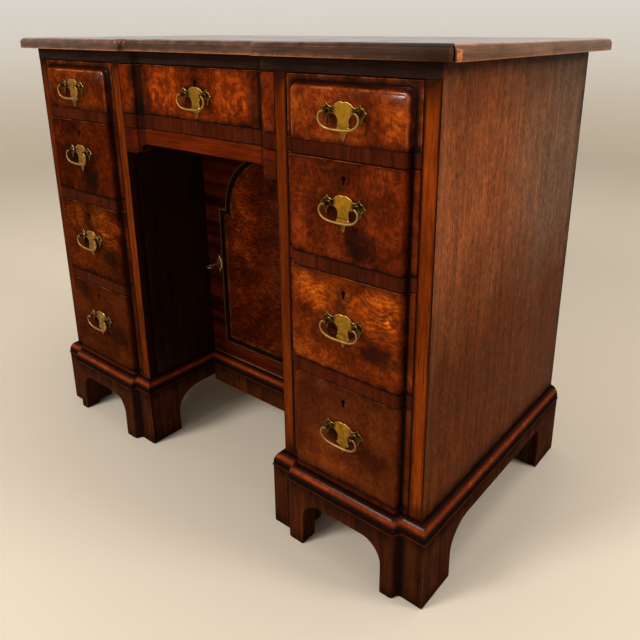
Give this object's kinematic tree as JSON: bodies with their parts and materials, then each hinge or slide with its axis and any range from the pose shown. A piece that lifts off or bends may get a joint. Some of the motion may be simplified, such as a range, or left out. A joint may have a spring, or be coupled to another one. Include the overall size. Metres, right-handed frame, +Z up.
{
  "type": "kneehole desk",
  "caption": "Walnut kneehole desk with block-fronted pedestals of drawers, a centre drawer, an apron drawer and a recessed cupboard.",
  "frame": {"origin": "on the floor under the middle of the desk's whole length and depth", "axes": "+X along the front to the right of someone who faces the desk, +Y to the back, +Z up"},
  "size_m": [0.956, 0.533, 0.79],
  "materials": {
    "top_walnut": "dark polished walnut with worn edges",
    "dark_walnut": "nearly black walnut",
    "side_walnut": "straight-grained walnut, waxed",
    "knee_walnut": "dark walnut",
    "stile_walnut": "straight-grained orange-brown walnut",
    "rail_walnut": "cross-grained walnut",
    "moulding_walnut": "walnut moulding, worn bright on its crown",
    "plinth_walnut": "walnut, dark in the corners",
    "door_walnut": "cross-banded walnut",
    "apron_walnut": "walnut",
    "burr_walnut": "burr walnut veneer, polished",
    "oak": "plain oak, dry and dusty",
    "brass": "aged brass, bright on its edges",
    "key_iron": "old iron, rubbed"
  },
  "bodies": {
    "case": {"top_board": "top_walnut", "frieze_rail": "dark_walnut", "end_panels": "side_walnut", "knee_sides": "knee_walnut", "stiles": "stile_walnut", "drawer_rails": "rail_walnut", "centre_rail": "rail_walnut", "dustboards": "oak", "back_boards": "oak", "base_mouldings": "moulding_walnut", "pedestal_plinths": "plinth_walnut", "cupboard_plinth": "plinth_walnut", "foot_blocks": "oak", "cupboard_boards": "oak", "cupboard_head_rail": "dark_walnut", "cupboard_shelf": "oak", "door_hinges": "brass"},
    "left_top_drawer": {"left_top_drawer_front": "burr_walnut", "left_top_drawer_box": "oak", "left_top_drawer_fittings": "brass"},
    "left_top_bail": {"left_top_drawer_bail": "brass"},
    "left_second_drawer": {"left_second_drawer_front": "burr_walnut", "left_second_drawer_box": "oak", "left_second_drawer_fittings": "brass"},
    "left_second_bail": {"left_second_drawer_bail": "brass"},
    "left_third_drawer": {"left_third_drawer_front": "burr_walnut", "left_third_drawer_box": "oak", "left_third_drawer_fittings": "brass"},
    "left_third_bail": {"left_third_drawer_bail": "brass"},
    "left_bottom_drawer": {"left_bottom_drawer_front": "burr_walnut", "left_bottom_drawer_box": "oak", "left_bottom_drawer_fittings": "brass"},
    "left_bottom_bail": {"left_bottom_drawer_bail": "brass"},
    "right_top_drawer": {"right_top_drawer_front": "burr_walnut", "right_top_drawer_box": "oak", "right_top_drawer_fittings": "brass"},
    "right_top_bail": {"right_top_drawer_bail": "brass"},
    "right_second_drawer": {"right_second_drawer_front": "burr_walnut", "right_second_drawer_box": "oak", "right_second_drawer_fittings": "brass"},
    "right_second_bail": {"right_second_drawer_bail": "brass"},
    "right_third_drawer": {"right_third_drawer_front": "burr_walnut", "right_third_drawer_box": "oak", "right_third_drawer_fittings": "brass"},
    "right_third_bail": {"right_third_drawer_bail": "brass"},
    "right_bottom_drawer": {"right_bottom_drawer_front": "burr_walnut", "right_bottom_drawer_box": "oak", "right_bottom_drawer_fittings": "brass"},
    "right_bottom_bail": {"right_bottom_drawer_bail": "brass"},
    "centre_drawer": {"centre_drawer_front": "burr_walnut", "centre_drawer_box": "oak", "centre_drawer_fittings": "brass"},
    "centre_bail": {"centre_drawer_bail": "brass"},
    "apron_drawer": {"apron_drawer_front": "apron_walnut", "apron_drawer_box": "oak"},
    "cupboard_door": {"door_frame": "door_walnut", "door_panel": "burr_walnut", "door_lock": "brass", "door_hinge_leaves": "brass"},
    "key": {"key": "key_iron"}
  },
  "joints": [
    {"name": "left_top_drawer_slide", "type": "slide", "parent": "case", "child": "left_top_drawer", "axis": [0, -1, 0], "range_m": [0, 0.32]},
    {"name": "left_top_bail_swing", "type": "hinge", "parent": "left_top_drawer", "child": "left_top_bail", "pos_m": [-0.31695, -0.2626, 0.706], "axis": [-1, 0, 0], "range_deg": [-20, 150]},
    {"name": "left_second_drawer_slide", "type": "slide", "parent": "case", "child": "left_second_drawer", "axis": [0, -1, 0], "range_m": [0, 0.32]},
    {"name": "left_second_bail_swing", "type": "hinge", "parent": "left_second_drawer", "child": "left_second_bail", "pos_m": [-0.31695, -0.2626, 0.5845], "axis": [-1, 0, 0], "range_deg": [-20, 150]},
    {"name": "left_third_drawer_slide", "type": "slide", "parent": "case", "child": "left_third_drawer", "axis": [0, -1, 0], "range_m": [0, 0.32]},
    {"name": "left_third_bail_swing", "type": "hinge", "parent": "left_third_drawer", "child": "left_third_bail", "pos_m": [-0.31695, -0.2626, 0.414], "axis": [-1, 0, 0], "range_deg": [-20, 150]},
    {"name": "left_bottom_drawer_slide", "type": "slide", "parent": "case", "child": "left_bottom_drawer", "axis": [0, -1, 0], "range_m": [0, 0.32]},
    {"name": "left_bottom_bail_swing", "type": "hinge", "parent": "left_bottom_drawer", "child": "left_bottom_bail", "pos_m": [-0.31695, -0.2626, 0.24], "axis": [-1, 0, 0], "range_deg": [-20, 150]},
    {"name": "right_top_drawer_slide", "type": "slide", "parent": "case", "child": "right_top_drawer", "axis": [0, -1, 0], "range_m": [0, 0.32]},
    {"name": "right_top_bail_swing", "type": "hinge", "parent": "right_top_drawer", "child": "right_top_bail", "pos_m": [0.31695, -0.2626, 0.706], "axis": [-1, 0, 0], "range_deg": [-20, 150]},
    {"name": "right_second_drawer_slide", "type": "slide", "parent": "case", "child": "right_second_drawer", "axis": [0, -1, 0], "range_m": [0, 0.32]},
    {"name": "right_second_bail_swing", "type": "hinge", "parent": "right_second_drawer", "child": "right_second_bail", "pos_m": [0.31695, -0.2626, 0.5845], "axis": [-1, 0, 0], "range_deg": [-20, 150]},
    {"name": "right_third_drawer_slide", "type": "slide", "parent": "case", "child": "right_third_drawer", "axis": [0, -1, 0], "range_m": [0, 0.32]},
    {"name": "right_third_bail_swing", "type": "hinge", "parent": "right_third_drawer", "child": "right_third_bail", "pos_m": [0.31695, -0.2626, 0.414], "axis": [-1, 0, 0], "range_deg": [-20, 150]},
    {"name": "right_bottom_drawer_slide", "type": "slide", "parent": "case", "child": "right_bottom_drawer", "axis": [0, -1, 0], "range_m": [0, 0.32]},
    {"name": "right_bottom_bail_swing", "type": "hinge", "parent": "right_bottom_drawer", "child": "right_bottom_bail", "pos_m": [0.31695, -0.2626, 0.24], "axis": [-1, 0, 0], "range_deg": [-20, 150]},
    {"name": "centre_drawer_slide", "type": "slide", "parent": "case", "child": "centre_drawer", "axis": [0, -1, 0], "range_m": [0, 0.32]},
    {"name": "centre_bail_swing", "type": "hinge", "parent": "centre_drawer", "child": "centre_bail", "pos_m": [0, -0.2376, 0.706], "axis": [-1, 0, 0], "range_deg": [-20, 150]},
    {"name": "apron_drawer_slide", "type": "slide", "parent": "case", "child": "apron_drawer", "axis": [0, -1, 0], "range_m": [0, 0.28]},
    {"name": "cupboard_door_swing", "type": "hinge", "parent": "case", "child": "cupboard_door", "pos_m": [0.1818, -0.0736, 0.3676], "axis": [0, 0, 1], "range_deg": [0, 85]},
    {"name": "key_turn", "type": "hinge", "parent": "cupboard_door", "child": "key", "pos_m": [-0.15, -0.0805, 0.345], "axis": [0, 1, 0], "range_deg": [0, 360]}
  ]
}
